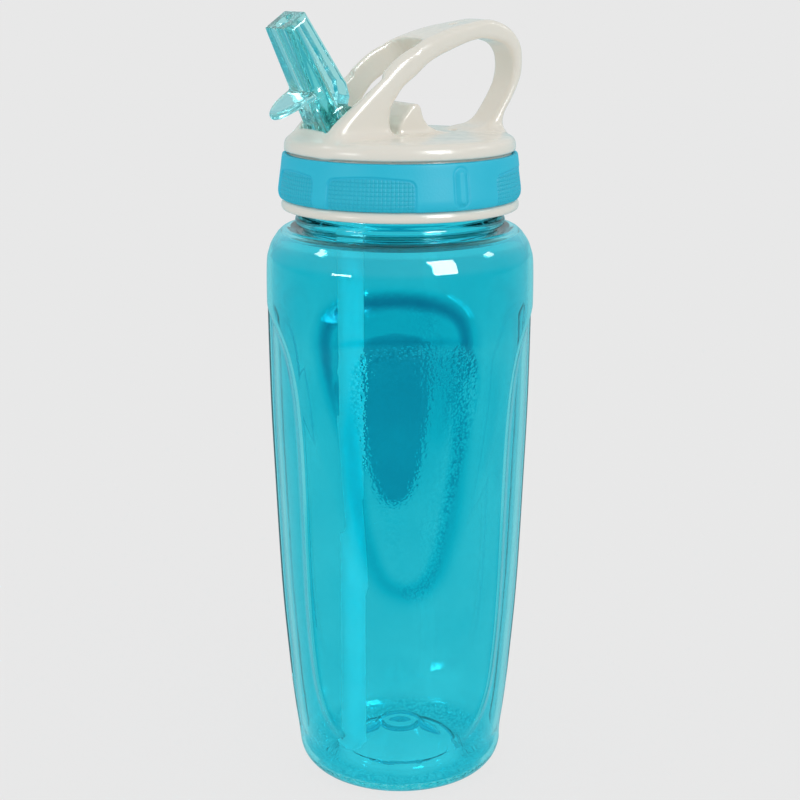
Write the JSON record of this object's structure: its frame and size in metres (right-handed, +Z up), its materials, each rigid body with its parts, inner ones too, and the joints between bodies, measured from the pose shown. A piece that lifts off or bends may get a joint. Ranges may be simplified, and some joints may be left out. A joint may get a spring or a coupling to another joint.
{
  "type": "sports bottle",
  "caption": "Tinted rigid drinking bottle with a screw lid, a carry loop and a flip-up straw spout that folds back into the loop.",
  "frame": {"origin": "bottle axis at the base plane", "axes": "+Z up along the bottle axis, spout on the -X side, rear of the carry loop on the +X side"},
  "size_m": [0.0869, 0.0846, 0.2486],
  "materials": {
    "tinted_body": "clear tinted copolyester, polished, stippled in the thumb recesses",
    "lid_white": "warm white polypropylene, satin gloss",
    "grip_teal": "soft overmoulded grip, matte, fine grid texture in the patches",
    "silicone": "soft silicone",
    "tinted_spout": "clear tinted copolyester, polished",
    "nipple_white": "plain moulded polypropylene",
    "tinted_straw": "extruded polyethylene, faint haze"
  },
  "bodies": {
    "bottle": {"bottle_body": "tinted_body"},
    "gasket_ring": {"lid_gasket": "silicone"},
    "lid": {"lid_shell": "lid_white", "grip_band": "grip_teal", "spout_seal": "silicone", "straw_nipple": "nipple_white", "straw": "tinted_straw", "vent_valve": "silicone"},
    "flip_spout": {"spout": "tinted_spout"}
  },
  "joints": [
    {"name": "lid_rise", "type": "slide", "parent": "bottle", "child": "gasket_ring", "axis": [0, 0, 1], "range_m": [0, 0.00505]},
    {"name": "lid_turn", "type": "hinge", "parent": "gasket_ring", "child": "lid", "pos_m": [0, 0, 0.196], "axis": [0, 0, 1], "range_deg": [0, 450]},
    {"name": "spout_flip", "type": "hinge", "parent": "lid", "child": "flip_spout", "pos_m": [-0.023, 0, 0.215], "axis": [0, 1, 0], "range_deg": [0, 83]}
  ],
  "couplings": [
    {"joint": "lid_rise", "follows": "lid_turn", "m_per_rad": 0.00063662}
  ]
}
